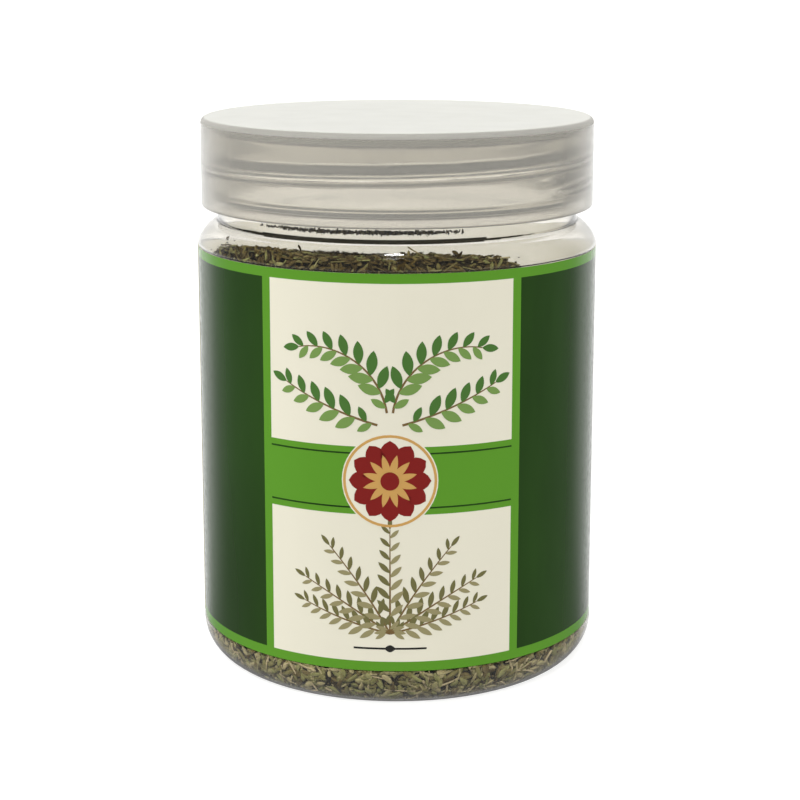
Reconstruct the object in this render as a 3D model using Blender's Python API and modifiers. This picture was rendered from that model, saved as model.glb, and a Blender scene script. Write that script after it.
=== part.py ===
"""A clear screw-lid jar of dried thyme. Metres, +Z up, origin at the centre of the base."""

import math
import random

import bmesh
import bpy
from mathutils import Euler, Vector

MM = 0.001
SEED = 11

# Driving dimensions of the jar
BODY_RADIUS = 43 * MM
WALL = 0.9 * MM
HEEL_RADIUS = 9 * MM
SHOULDER_FOOT_Z = 92.2 * MM
NECK_FOOT_Z = 97.3 * MM
NECK_RADIUS = 38.6 * MM
NECK_WALL = 1.4 * MM
RIM_Z = 115.8 * MM
RIM_ROUNDING = 0.45 * MM
BASE_THICKNESS = 1.2 * MM
STANDING_RING_INNER = 31 * MM
PUSH_UP = 3.2 * MM
PUSH_UP_STEPS = ((28 * MM, 0.45), (24.5 * MM, 0.75), (0, 1))
BEAD_Z = 102.4 * MM
BEAD_HEIGHT = 1.6 * MM
BEAD_STANDS_OUT = 1.1 * MM

# Driving dimensions of the screw thread, which is right-handed
PITCH = 5 * MM
THREAD_TURNS = 1.25
THREAD_WIRE = 0.95 * MM
THREAD_SUNK = 0.35 * MM
THREAD_FADE = math.radians(25)
THREAD_END_SIZE = 0.45
JAR_THREAD_START = math.radians(-45)
JAR_THREAD_FOOT_Z = 106.9 * MM
LID_THREAD_BELOW = 2.1 * MM

# Driving dimensions of the lid and its liner
LID_RADIUS = 42 * MM
LID_FOOT_Z = 99.9 * MM
LID_TOP_Z = 118.7 * MM
LID_WALL = 1.6 * MM
LID_PLATE = 1.5 * MM
LID_EDGE = 1.6 * MM
LID_FOOT_ROUNDING = 0.5 * MM
LINER_THICKNESS = 0.8 * MM
GAP = 0.3 * MM

# Driving dimensions of the label and of the shallow waist that takes it
LABEL_FOOT_Z = 9.3 * MM
LABEL_TOP_Z = 91.3 * MM
LABEL_THICKNESS = 0.3 * MM
WAIST_DEPTH = LABEL_THICKNESS + GAP
WAIST_CHAMFER = 0.35 * MM

# Driving dimensions of the thyme: its heap has a crest near the front left and falls away behind it
HEAP_MIDDLE_Z = 84.3 * MM
HEAP_RISE = 16 * MM
HEAP_HIGH_SIDE = math.radians(-107)
HEAP_CREST_FROM = 0.55
HEAP_CREST_ROUNDING = 1.7
HEAP_SIDE_FROM = 20 * MM
HEAP_SIDE_WIDTH = 10 * MM
HEAP_SIDE_DROP = 4 * MM
HEAP_REACH = 41 * MM
HEAP_BUMP = 0.5 * MM
HEAP_BUMPS_APART = (5 * MM, 6 * MM, 9 * MM)
THYME_GAP = 0.4 * MM
THYME_INSET = 1.2 * MM
LEAF_LENGTH = (6.5 * MM, 10 * MM)
LEAF_WIDTH = (2.4 * MM, 3.2 * MM)
LEAF_THICKNESS = 1.5 * MM
LEAF_MOST_CURL = 0.35 * MM
WALL_LEAF_SIZE = 1.2
STEM_LENGTH = (10 * MM, 15 * MM)
STEM_WIDTH = 1.1 * MM
TOP_LEAVES = 170
TOP_STEMS = 17
FOOT_LEAVES = 84
BRIM_LEAVES = 42
UNDERSIDE_LEAVES = 42
TOP_LIFT = (-0.3 * MM, 0.1 * MM)
STEM_LIFT = 0.05 * MM
WALL_LIFT = (-0.15 * MM, 0.1 * MM)
TOP_TILT = 0.45
WALL_TILT = 0.08
MOST_ROLL = 0.5
TOP_EDGE = 0.8 * MM
BRIM_DEPTH = (1 * MM, 5 * MM)
FOOT_CROWDING = 0.9
FOOT_RISE = 1.5 * MM

TURN = 2 * math.pi
GOLDEN_ANGLE = math.pi * (3 - math.sqrt(5))
ROUND_STEPS = 56
HEAP_STEPS = 32
HEAP_RINGS = (0.3, 0.55, 0.78, 1)
THREAD_STEPS_PER_TURN = 40
SHARP_ANGLE = math.radians(28)

waist_radius = BODY_RADIUS - WAIST_DEPTH
inner_radius = waist_radius - WALL
neck_inner_radius = NECK_RADIUS - NECK_WALL
lid_inner_radius = LID_RADIUS - LID_WALL
lid_plate_z = LID_TOP_Z - LID_PLATE
heel_centre_r = BODY_RADIUS - HEEL_RADIUS
heel_top_z = LABEL_FOOT_Z - GAP - 2 * WAIST_CHAMFER
inner_heel_top_z = heel_top_z - GAP
inner_heel_radius = BODY_RADIUS - WALL
inner_step = inner_heel_radius - inner_radius


def clear_scene():
    for thing in list(bpy.data.objects):
        bpy.data.objects.remove(thing, do_unlink=True)


def new_collection(name):
    group = bpy.data.collections.new(name)
    bpy.context.scene.collection.children.link(group)
    return group


def plastic(name, colour, roughness, transmission=0.0, ior=1.5):
    """A Principled material of one colour, clear where transmission is 1."""
    material = bpy.data.materials.new(name)
    material.use_nodes = True
    shader = material.node_tree.nodes["Principled BSDF"]
    shader.inputs["Base Color"].default_value = (*colour, 1)
    shader.inputs["Roughness"].default_value = roughness
    shader.inputs["Metallic"].default_value = 0
    shader.inputs["Transmission Weight"].default_value = transmission
    shader.inputs["IOR"].default_value = ior
    material.diffuse_color = (*colour, 1 - 0.7 * transmission)
    return material


def arc(centre, radii, first, last, steps):
    """Points (r, z) on an elliptical arc, from one angle in degrees to another."""
    points = []
    for step in range(steps + 1):
        angle = math.radians(first + (last - first) * step / steps)
        r = centre[0] + radii[0] * math.cos(angle)
        z = centre[1] + radii[1] * math.sin(angle)
        points.append((r, z))
    return points


def turned(name, profile, group, steps=ROUND_STEPS):
    """A closed profile of (r, z) points, outer side first and downwards, turned round the Z axis."""
    mesh = bpy.data.meshes.new(name)
    corners = [(r, 0, z) for r, z in profile]
    pairs = [(i, (i + 1) % len(corners)) for i in range(len(corners))]
    edges = [pair for pair in pairs if any(corners[i][0] > 0 for i in pair)]
    mesh.from_pydata(corners, edges, [])
    thing = bpy.data.objects.new(name, mesh)
    group.objects.link(thing)
    screw = thing.modifiers.new("turn", "SCREW")
    screw.angle = TURN
    screw.steps = steps
    screw.render_steps = steps
    screw.use_merge_vertices = True
    screw.merge_threshold = 0.00001
    return applied(thing)


def shade_round(thing):
    """Smooth shading over the curves, with the real edges left sharp."""
    thing.data.shade_smooth()
    thing.data.set_sharp_from_angle(angle=SHARP_ANGLE)


def applied(thing):
    """Turns an object and its modifiers into a plain mesh object of the same name."""
    bpy.context.view_layer.update()
    graph = bpy.context.evaluated_depsgraph_get()
    mesh = bpy.data.meshes.new_from_object(thing.evaluated_get(graph))
    name = thing.name
    place = thing.matrix_world.copy()
    groups = list(thing.users_collection)
    bpy.data.objects.remove(thing, do_unlink=True)
    solid = bpy.data.objects.new(name, mesh)
    solid.matrix_world = place
    for group in groups:
        group.objects.link(solid)
    shade_round(solid)
    return solid


def thread_ridge(name, radius, foot_z, start, group):
    """The raised thread: a round wire along a helix, sunk in the wall, thinning out at its ends."""
    steps = round(THREAD_TURNS * THREAD_STEPS_PER_TURN)
    curve = bpy.data.curves.new(name, "CURVE")
    curve.dimensions = "3D"
    curve.twist_mode = "Z_UP"
    curve.bevel_depth = THREAD_WIRE
    curve.bevel_resolution = 2
    curve.use_fill_caps = True
    spline = curve.splines.new("POLY")
    spline.points.add(steps)
    for step, point in enumerate(spline.points):
        turned_by = TURN * THREAD_TURNS * step / steps
        from_end = min(turned_by, TURN * THREAD_TURNS - turned_by)
        x = radius * math.cos(start + turned_by)
        y = radius * math.sin(start + turned_by)
        point.co = (x, y, foot_z + PITCH * turned_by / TURN, 1)
        whole = min(1, from_end / THREAD_FADE)
        point.radius = THREAD_END_SIZE + (1 - THREAD_END_SIZE) * whole
    thing = bpy.data.objects.new(name, curve)
    group.objects.link(thing)
    thing = applied(thing)
    edit = bmesh.new()
    edit.from_mesh(thing.data)
    bmesh.ops.remove_doubles(edit, verts=edit.verts, dist=0.000001)
    bmesh.ops.recalc_face_normals(edit, faces=edit.faces)
    edit.to_mesh(thing.data)
    edit.free()
    thing.hide_render = True
    thing.display_type = "WIRE"
    return thing


def join_to(thing, other):
    union = thing.modifiers.new("join " + other.name, "BOOLEAN")
    union.operation = "UNION"
    union.object = other
    union.solver = "EXACT"


def shoulder_outer():
    reach = (BODY_RADIUS - NECK_RADIUS, NECK_FOOT_Z - SHOULDER_FOOT_Z)
    return arc((NECK_RADIUS, SHOULDER_FOOT_Z), reach, 90, 0, 5)


def shoulder_inner_radii():
    return inner_radius - neck_inner_radius, NECK_FOOT_Z - SHOULDER_FOOT_Z


def heel_inner_radii():
    return inner_heel_radius - heel_centre_r, inner_heel_top_z - BASE_THICKNESS


def push_up(raised):
    """The pushed-up middle of the base, from the standing ring to the axis."""
    return [(r, PUSH_UP * share + raised) for r, share in PUSH_UP_STEPS]


def make_jar(group, helpers, material):
    bead = arc((NECK_RADIUS, BEAD_Z), (BEAD_STANDS_OUT, BEAD_HEIGHT / 2), 90, -90, 4)
    waist = [
        (BODY_RADIUS, LABEL_TOP_Z + GAP + WAIST_CHAMFER),
        (waist_radius, LABEL_TOP_Z + GAP),
        (waist_radius, LABEL_FOOT_Z - GAP),
        (BODY_RADIUS, LABEL_FOOT_Z - GAP - WAIST_CHAMFER),
    ]
    heel = arc((heel_centre_r, heel_top_z), (HEEL_RADIUS, heel_top_z), 0, -90, 5)
    rim_middle = NECK_RADIUS - NECK_WALL / 2
    rim = [(rim_middle, RIM_Z), (NECK_RADIUS, RIM_Z - RIM_ROUNDING)]
    outer = rim + bead + shoulder_outer() + waist + heel
    under = [(STANDING_RING_INNER, 0)] + push_up(0)
    inside = push_up(BASE_THICKNESS)[::-1] + [(STANDING_RING_INNER, BASE_THICKNESS)]
    inside += arc((heel_centre_r, inner_heel_top_z), heel_inner_radii(), -90, 0, 4)
    inside.append((inner_radius, inner_heel_top_z + inner_step))
    shoulder_middle = (neck_inner_radius, SHOULDER_FOOT_Z)
    inside += arc(shoulder_middle, shoulder_inner_radii(), 0, 90, 4)
    inside.append((neck_inner_radius, RIM_Z - RIM_ROUNDING))
    jar = turned("jar_body", outer + under + inside, group)
    jar.data.materials.append(material)
    thread_radius = NECK_RADIUS + THREAD_SUNK
    ridge = thread_ridge("jar_thread", thread_radius, JAR_THREAD_FOOT_Z, JAR_THREAD_START, helpers)
    join_to(jar, ridge)
    return jar


def make_lid(group, helpers, material):
    edge_centre = (LID_RADIUS - LID_EDGE, LID_TOP_Z - LID_EDGE)
    foot_centre = (LID_RADIUS - LID_FOOT_ROUNDING, LID_FOOT_Z + LID_FOOT_ROUNDING)
    foot_radii = (LID_FOOT_ROUNDING, LID_FOOT_ROUNDING)
    profile = [(0, LID_TOP_Z)]
    profile += arc(edge_centre, (LID_EDGE, LID_EDGE), 90, 0, 4)
    profile += arc(foot_centre, foot_radii, 0, -90, 2)
    profile.append((lid_inner_radius + LID_FOOT_ROUNDING, LID_FOOT_Z))
    profile.append((lid_inner_radius, LID_FOOT_Z + 2 * LID_FOOT_ROUNDING))
    profile.append((lid_inner_radius, lid_plate_z))
    profile.append((0, lid_plate_z))
    lid = turned("lid", profile, group)
    lid.data.materials.append(material)
    thread_radius = lid_inner_radius - THREAD_SUNK
    foot_z = JAR_THREAD_FOOT_Z - LID_THREAD_BELOW
    ridge = thread_ridge("lid_thread", thread_radius, foot_z, JAR_THREAD_START, helpers)
    join_to(lid, ridge)
    return lid


def make_liner(group, material):
    radius = lid_inner_radius - GAP
    top = lid_plate_z - GAP
    foot = top - LINER_THICKNESS
    liner = turned("lid_liner", [(0, top), (radius, top), (radius, foot), (0, foot)], group)
    liner.data.materials.append(material)
    return liner


def make_label(group, material):
    outer = BODY_RADIUS
    inner = BODY_RADIUS - LABEL_THICKNESS
    profile = [(outer, LABEL_TOP_Z), (outer, LABEL_FOOT_Z), (inner, LABEL_FOOT_Z), (inner, LABEL_TOP_Z)]
    label = turned("label", profile, group)
    label.data.materials.append(material)
    return label


def jar_inside_radius(z):
    """How far the thyme may reach from the axis at a height, up to the jar's inside."""
    if z < inner_heel_top_z:
        across, down = heel_inner_radii()
        part = min(1, (inner_heel_top_z - z) / down)
        return min(inner_radius, heel_centre_r + across * math.sqrt(1 - part * part))
    if z > SHOULDER_FOOT_Z:
        across, up = shoulder_inner_radii()
        part = min(1, (z - SHOULDER_FOOT_Z) / up)
        return neck_inner_radius + across * math.sqrt(1 - part * part)
    return inner_radius


def jar_floor_z(r):
    """The height of the jar's inside floor at a distance from the axis."""
    corners = push_up(BASE_THICKNESS)[::-1] + [(STANDING_RING_INNER, BASE_THICKNESS)]
    for (r0, z0), (r1, z1) in zip(corners, corners[1:]):
        if r <= r1:
            return z0 + (z1 - z0) * (r - r0) / (r1 - r0)
    return BASE_THICKNESS


def heap_z(x, y):
    """The height of the thyme's top: a slope towards the high side, with a round crest and low
    bumps, that falls away at the right."""
    along = (x * math.cos(HEAP_HIGH_SIDE) + y * math.sin(HEAP_HIGH_SIDE)) / HEAP_REACH
    wide, deep, slanted = HEAP_BUMPS_APART
    bumps = math.sin(x / wide + 1) * math.cos(y / deep) + math.sin((x + 2 * y) / slanted)
    along -= HEAP_CREST_ROUNDING * max(0, along - HEAP_CREST_FROM) ** 2
    aside = min(1, max(0, (x - HEAP_SIDE_FROM) / HEAP_SIDE_WIDTH))
    drop = HEAP_SIDE_DROP * aside * aside * (3 - 2 * aside)
    return HEAP_MIDDLE_Z + HEAP_RISE * along - drop + HEAP_BUMP * bumps


def make_thyme_core(group):
    """The packed inside of the thyme, which the loose leaves stand out of."""
    across, down = heel_inner_radii()
    wall_r = inner_radius - THYME_INSET
    heel_radii = (across - THYME_INSET, down - THYME_INSET)
    profile = [(0, HEAP_MIDDLE_Z)]
    profile += [(wall_r * share, HEAP_MIDDLE_Z) for share in HEAP_RINGS]
    profile.append((wall_r, inner_heel_top_z + 3 * inner_step))
    profile += arc((heel_centre_r, inner_heel_top_z), heel_radii, 0, -90, 3)
    profile.append((STANDING_RING_INNER, BASE_THICKNESS + THYME_INSET))
    profile += push_up(BASE_THICKNESS + THYME_INSET)
    core = turned("dried_thyme", profile, group, HEAP_STEPS)
    for corner in core.data.vertices:
        x, y, z = corner.co
        if z > HEAP_MIDDLE_Z - MM:
            corner.co.z = heap_z(x, y)
            limit = jar_inside_radius(corner.co.z) - THYME_INSET
            corner.co.xy *= min(1, limit / max(limit, math.hypot(x, y)))
    return core


def pull_inside(point):
    """Moves a leaf's corner back to where it clears the jar's wall, floor and neck."""
    point.z = min(point.z, NECK_FOOT_Z - THYME_GAP)
    r = math.hypot(point.x, point.y)
    limit = jar_inside_radius(point.z) - THYME_GAP
    if r > limit:
        point.x *= limit / r
        point.y *= limit / r
        r = limit
    point.z = max(point.z, jar_floor_z(r) + THYME_GAP)
    return point


def add_bit(name, group, corners, faces):
    mesh = bpy.data.meshes.new(name)
    mesh.from_pydata([pull_inside(corner) for corner in corners], [], faces)
    group.objects.link(bpy.data.objects.new(name, mesh))


def leaf_corners(draw, bigger=1.0):
    """A small curled leaf with a rolled back: two tips and three corners round its middle, along X."""
    half = bigger * draw.uniform(*LEAF_LENGTH) / 2
    wide = bigger * draw.uniform(*LEAF_WIDTH) / 2
    curl = draw.uniform(0, LEAF_MOST_CURL)
    shift = draw.uniform(-0.25, 0.25) * half
    middle = [(wide, 0), (0, LEAF_THICKNESS), (-wide, 0)]
    corners = [Vector((-half, 0, -curl))]
    corners += [Vector((shift, across, curl + up - LEAF_THICKNESS / 3)) for across, up in middle]
    corners.append(Vector((half, 0, -curl)))
    faces = [(0, 1 + (i + 1) % 3, 1 + i) for i in range(3)]
    faces += [(4, 1 + i, 1 + (i + 1) % 3) for i in range(3)]
    return corners, faces


def stem_corners(draw):
    """A bit of stem: a three-sided stick, along X."""
    half = draw.uniform(*STEM_LENGTH) / 2
    corners = []
    for x in (-half, half):
        for side in range(3):
            angle = TURN * side / 3
            across = STEM_WIDTH / 2 * math.cos(angle)
            corners.append(Vector((x, across, STEM_WIDTH / 2 * math.sin(angle))))
    faces = [(2, 1, 0), (3, 4, 5)]
    faces += [(i, (i + 1) % 3, 3 + (i + 1) % 3, 3 + i) for i in range(3)]
    return corners, faces


def lay(draw, shape, spot, outward, lift, tilt):
    """Turns a bit's corners so that it lies on a surface at a spot, at a drawn heading and tilt."""
    corners, faces = shape
    turn = outward.to_track_quat("Z", "Y").to_matrix()
    roll = draw.uniform(-MOST_ROLL, MOST_ROLL)
    lean = draw.uniform(-tilt, tilt)
    heading = Euler((roll, lean, draw.uniform(0, TURN)), "XYZ")
    place = turn @ heading.to_matrix()
    return [spot + outward * lift + place @ corner for corner in corners], faces


def slope_outward(x, y):
    step = 0.5 * MM
    across = (heap_z(x + step, y) - heap_z(x - step, y)) / (2 * step)
    along = (heap_z(x, y + step) - heap_z(x, y - step)) / (2 * step)
    return Vector((-across, -along, 1)).normalized()


def scatter_top(draw, group):
    """Leaves and stems all over the heap."""
    count = TOP_LEAVES + TOP_STEMS
    reach = inner_radius - THYME_INSET - TOP_EDGE
    for i in range(count):
        r = reach * math.sqrt((i + 0.5) / count)
        angle = i * GOLDEN_ANGLE + draw.uniform(-0.1, 0.1)
        x, y = r * math.cos(angle), r * math.sin(angle)
        is_stem = i % (count // TOP_STEMS) == 5
        shape = stem_corners(draw) if is_stem else leaf_corners(draw)
        spot = Vector((x, y, heap_z(x, y)))
        lift = STEM_LIFT if is_stem else draw.uniform(*TOP_LIFT)
        add_bit(f"top_{i}", group, *lay(draw, shape, spot, slope_outward(x, y), lift, TOP_TILT))


def add_wall_leaf(draw, name, group, spot, outward):
    """A larger, flatter leaf that lies along the jar's wall or floor."""
    lift = draw.uniform(*WALL_LIFT)
    shape = leaf_corners(draw, WALL_LEAF_SIZE)
    add_bit(name, group, *lay(draw, shape, spot, outward, lift, WALL_TILT))


def scatter_brim(draw, group):
    """Leaves against the wall, just under the heap's edge."""
    wall_r = inner_radius - THYME_INSET
    for i in range(BRIM_LEAVES):
        angle = TURN * (i + draw.uniform(-0.3, 0.3)) / BRIM_LEAVES
        outward = Vector((math.cos(angle), math.sin(angle), 0))
        z = heap_z(wall_r * outward.x, wall_r * outward.y) - draw.uniform(*BRIM_DEPTH)
        r = jar_inside_radius(z) - THYME_INSET
        spot = Vector((r * outward.x, r * outward.y, z))
        add_wall_leaf(draw, f"brim_{i}", group, spot, outward)


def scatter_foot(draw, group):
    """Leaves round the heel, which show through the clear plastic under the label."""
    across, down = heel_inner_radii()
    for i in range(FOOT_LEAVES):
        angle = i * GOLDEN_ANGLE
        share = ((i + 0.5) / FOOT_LEAVES) ** FOOT_CROWDING
        slope = math.radians(90) * (1 - share)
        r = heel_centre_r + (across - THYME_INSET) * math.cos(slope)
        z = inner_heel_top_z - (down - THYME_INSET) * math.sin(slope) + FOOT_RISE * share
        outward = Vector((math.cos(angle), math.sin(angle), -math.tan(slope))).normalized()
        spot = Vector((r * math.cos(angle), r * math.sin(angle), z))
        add_wall_leaf(draw, f"foot_{i}", group, spot, outward)


def scatter_underside(draw, group):
    """Leaves on the jar's floor, which show from below."""
    for i in range(UNDERSIDE_LEAVES):
        r = (heel_centre_r - MM) * math.sqrt((i + 0.5) / UNDERSIDE_LEAVES)
        angle = i * GOLDEN_ANGLE
        spot = Vector((r * math.cos(angle), r * math.sin(angle), jar_floor_z(r) + THYME_INSET))
        add_wall_leaf(draw, f"underside_{i}", group, spot, Vector((0, 0, -1)))


def scatter_thyme(group):
    draw = random.Random(SEED)
    scatter_top(draw, group)
    scatter_brim(draw, group)
    scatter_foot(draw, group)
    scatter_underside(draw, group)


def drop_loose(thing):
    """Keeps the body that holds together and drops any leaf that missed it."""
    edit = bmesh.new()
    edit.from_mesh(thing.data)
    unseen = set(edit.verts)
    bodies = []
    while unseen:
        body = {unseen.pop()}
        front = list(body)
        while front:
            corner = front.pop()
            beside = {edge.other_vert(corner) for edge in corner.link_edges} - body
            body |= beside
            front += beside
        unseen -= body
        bodies.append(body)
    largest = max(bodies, key=len)
    loose = [corner for corner in edit.verts if corner not in largest]
    bmesh.ops.delete(edit, geom=loose, context="VERTS")
    edit.to_mesh(thing.data)
    edit.free()


def make_thyme(group, material):
    """The fill: its core and every leaf and stem that stands out of it, joined as one body."""
    core = make_thyme_core(group)
    bits = new_collection("thyme bits")
    scatter_thyme(bits)
    union = core.modifiers.new("join bits", "BOOLEAN")
    union.operation = "UNION"
    union.operand_type = "COLLECTION"
    union.collection = bits
    union.solver = "MANIFOLD"
    thyme = applied(core)
    drop_loose(thyme)
    for bit in list(bits.objects):
        bpy.data.objects.remove(bit, do_unlink=True)
    bpy.data.collections.remove(bits)
    thyme.data.materials.clear()
    thyme.data.materials.append(material)
    return thyme


def set_on_axis(thing, empty):
    """Hangs a moving piece from the empty that stands on its joint's axis."""
    thing.parent = empty


def main():
    clear_scene()
    jar_group = new_collection("thyme_spice_jar")
    helpers = new_collection("helpers")
    make_jar(jar_group, helpers, plastic("clear PET", (0.93, 0.95, 0.92), 0.05, 1.0, 1.57))
    make_label(jar_group, plastic("label paper", (0.15, 0.33, 0.09), 0.35))
    make_thyme(jar_group, plastic("dried thyme", (0.17, 0.16, 0.08), 0.9))
    axis = bpy.data.objects.new("lid_axis", None)
    jar_group.objects.link(axis)
    lid = make_lid(jar_group, helpers, plastic("milky polypropylene", (0.78, 0.77, 0.72), 0.3, 0.6))
    liner = make_liner(jar_group, plastic("foam liner", (0.86, 0.86, 0.82), 0.7))
    set_on_axis(lid, axis)
    set_on_axis(liner, axis)


main()
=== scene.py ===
"""Looks for a clear screw-lid jar of dried thyme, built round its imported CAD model. Metres, +Z up."""

import math

import bmesh
import bpy
import numpy as np
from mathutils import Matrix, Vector


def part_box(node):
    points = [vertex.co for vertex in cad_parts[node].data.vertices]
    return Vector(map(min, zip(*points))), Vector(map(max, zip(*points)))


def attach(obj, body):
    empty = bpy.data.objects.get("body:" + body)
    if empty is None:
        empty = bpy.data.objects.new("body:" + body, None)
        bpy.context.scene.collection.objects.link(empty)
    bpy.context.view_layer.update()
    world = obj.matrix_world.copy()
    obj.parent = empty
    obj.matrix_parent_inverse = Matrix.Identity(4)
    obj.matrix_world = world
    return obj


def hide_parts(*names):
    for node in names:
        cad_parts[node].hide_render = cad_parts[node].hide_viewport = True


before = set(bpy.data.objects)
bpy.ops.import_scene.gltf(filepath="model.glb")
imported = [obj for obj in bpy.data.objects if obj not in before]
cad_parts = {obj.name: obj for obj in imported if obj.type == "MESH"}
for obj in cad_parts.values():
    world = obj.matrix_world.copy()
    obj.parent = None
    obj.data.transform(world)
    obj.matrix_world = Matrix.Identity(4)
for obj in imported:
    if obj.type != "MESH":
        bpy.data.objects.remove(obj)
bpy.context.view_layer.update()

MM = 0.001
TURN = 2 * math.pi
SEED = 4
EVEN = (1, 1, 1)

_, jar_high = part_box("jar_body")
label_low, label_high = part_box("label")
lid_low, lid_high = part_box("lid")
liner_low, liner_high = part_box("lid_liner")

# The jar
BODY_RADIUS = jar_high.x
RIM_Z = jar_high.z
WAIST_DEPTH = 0.32 * MM
WAIST_RADIUS = BODY_RADIUS - WAIST_DEPTH
WALL = 0.5 * MM
INNER_RADIUS = WAIST_RADIUS - WALL
NECK_RADIUS = 38.6 * MM
NECK_WALL = 1.2 * MM
NECK_INNER_RADIUS = NECK_RADIUS - NECK_WALL
NECK_FOOT_Z = 96.8 * MM
SHOULDER_FOOT_Z = 91.8 * MM
SHOULDER_ROUNDNESS = 1.5
BEAD_Z = 102.4 * MM
BEAD_RADII = (1.1 * MM, 0.8 * MM)
HEEL_RADIUS = 9 * MM
HEEL_CENTRE_R = BODY_RADIUS - HEEL_RADIUS
STANDING_RING_INNER = 31 * MM
HEEL_WALL = 0.3 * MM
BASE_THICKNESS = 0.35 * MM
PUSH_UP = 3.2 * MM
PUSH_UP_TOP_R = 22 * MM
PUSH_UP_DOME = 0.25
GATE_MARK = (2.2 * MM, 0.5 * MM)
WAIST_GAP = 0.08 * MM
WAIST_CHAMFER = 0.3 * MM
BODY_WAVES = 0.02 * MM

# Where the jar's plastic is painted dark, as painted shade where it is thick: how far out a crest starts,
# and a band under the rim
THREAD_CREST_OUT = 0.5 * MM
BEAD_CREST_OUT = 0.95 * MM
RIM_BAND = 0.7 * MM

# The crease at the neck's foot, painted as a dark band of shade round the front, with its ends in degrees
# from the front
CREASE_Z = NECK_FOOT_Z + 0.15 * MM
CREASE_HALF_HEIGHT = 0.42 * MM
CREASE_FROM = -66
CREASE_TO = 48
CREASE_FADE = 30

# The screw thread, right-handed, on the neck and inside the lid
PITCH = 5 * MM
THREAD_TURNS = 1.25
THREAD_START = math.radians(-45)
THREAD_FADE = math.radians(25)
JAR_THREAD_HEIGHT = 1.3 * MM
LID_THREAD_HEIGHT = 0.6 * MM
THREAD_HALF_WIDTH = 1.05 * MM
THREAD_STEEPNESS = 1.6
THREAD_ROOT_RADIUS = NECK_INNER_RADIUS + 0.9 * MM
THREAD_ROOT_FADE = 0.3 * MM
JAR_THREAD_FOOT_Z = 106.9 * MM
LID_THREAD_FOOT_Z = 104.8 * MM

# The lid and its liner
LID_RADIUS = lid_high.x
LID_FOOT_Z = lid_low.z
LID_TOP_Z = lid_high.z
LID_WALL = 1.6 * MM
LID_INNER_RADIUS = LID_RADIUS - LID_WALL
LID_PLATE_Z = LID_TOP_Z - 1.5 * MM
LID_EDGE = 1.3 * MM
LID_TOP_FROM = LID_TOP_Z - 0.1 * LID_EDGE
LID_CREST_OUT = 0.15 * MM

# The label, its printed frame and its lap, which is at the left side
LABEL_FOOT_Z = label_low.z
LABEL_TOP_Z = label_high.z
LABEL_THICKNESS = 0.12 * MM
LABEL_INSET = 0.16 * MM
LABEL_FACE_RADIUS = BODY_RADIUS - LABEL_INSET
LABEL_LAP = 7 * MM
LAP_RISES_BEFORE = 2 * MM
LAP_RISES_IN = 2.5 * MM
LAP_GAP = 0.02 * MM
LABEL_SEAM_SHIFT = 66 * MM
LABEL_TURN = math.radians(-91.95)
LABEL_WAVES = 0.012 * MM
LABEL_ROWS = 60
PANEL_HALF_WIDTH = 26 * MM
FRAME_LINE = 2 * MM

# The print: a layer of ink, cut into cells so that it follows the jar's round
INK = 0.01 * MM
PRINT_CELL = (1 * MM, 4 * MM)
PRINT_CELL_SHIFT = 0.13 * MM
SAME_PLACE = 0.001 * MM

# The panel's design, from the panel's middle. A twig is its foot, heading, length, bend and pairs of
# leaves, with the angles in degrees
BELT_UP = -1 * MM
BELT_HEIGHT = 14 * MM
BELT_LINE = 0.35 * MM
BELT_LINE_INSET = 1.4 * MM
GARLAND = (
    ((0.6 * MM, 13 * MM), 80, 25 * MM, -95, 8),
    ((2.5 * MM, 10.5 * MM), 16, 21 * MM, 12, 6),
)
GARLAND_LEAF = (6.2 * MM, 2.7 * MM)
GARLAND_STEM = 0.5 * MM
FAN_FOOT = (0, -33 * MM)
FAN = (
    (FAN_FOOT, 90, 22 * MM, 0, 8),
    (FAN_FOOT, 62, 22 * MM, -14, 8),
    (FAN_FOOT, 36, 21 * MM, -10, 8),
    (FAN_FOOT, 14, 19 * MM, 8, 8),
)
FAN_LEAF = (4.6 * MM, 1.5 * MM)
FAN_STEM = 0.45 * MM
UPRIGHT = 90
LEAF_SPREAD = math.radians(46)
LEAF_STEPS = 9
PETAL_STEPS = 12
DISC_STEPS = 40
RING_STEPS = 48
STEPS_PER_PAIR = 3
TWIG_TAPER = 0.6
LEAVES_SHRINK = 0.45
FOOT_LEAVES = 0.3
END_LEAF = 0.6
ROSETTE_RADIUS = 9 * MM
ROSETTE_MARGIN = 0.8 * MM
ROSETTE_RING = 0.55 * MM
ROSETTE_HEART = 1.9 * MM
ROSETTE_PETALS = 12
PETAL = (0.93 * ROSETTE_RADIUS, 4.1 * MM)
GILDING = (0.62 * ROSETTE_RADIUS, 1.5 * MM)
RULE_UP = -36.2 * MM
RULE_SIZE = (15 * MM, 0.4 * MM)
RULE_BEAD = (2.4 * MM, 1.5 * MM)

# The thyme: its heap has a crest near the front left and falls away behind it
HEAP_MIDDLE_Z = 83.1 * MM
HEAP_RISE = 16 * MM
HEAP_HIGH_SIDE = math.radians(-107)
HEAP_CREST_FROM = 0.55
HEAP_CREST_ROUNDING = 1.7
HEAP_SIDE_FROM = 20 * MM
HEAP_SIDE_WIDTH = 10 * MM
HEAP_SIDE_DROP = 4 * MM
HEAP_LEFT_FROM = 35 * MM
HEAP_LEFT_WIDTH = 7 * MM
HEAP_LEFT_DROP = 4 * MM
HEAP_REACH = 41 * MM
HEAP_CLEARANCE = 0.4 * MM
HEAP_BUMP = 0.5 * MM
HEAP_BUMPS_APART = (5 * MM, 6 * MM, 9 * MM)
HEAP_STEP = 0.5 * MM
BRIM_DEPTH = 8 * MM
BRIM_BELOW_EDGE = 1 * MM
CLINGING_REACH = (-0.8 * MM, 1.5 * MM)
NECK_DUST_Z = 98.7 * MM
NECK_DUST_SPREAD = 0.13 * MM
NECK_DUST_TURNS = (math.radians(-137), math.radians(-94), math.radians(-69))
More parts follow.
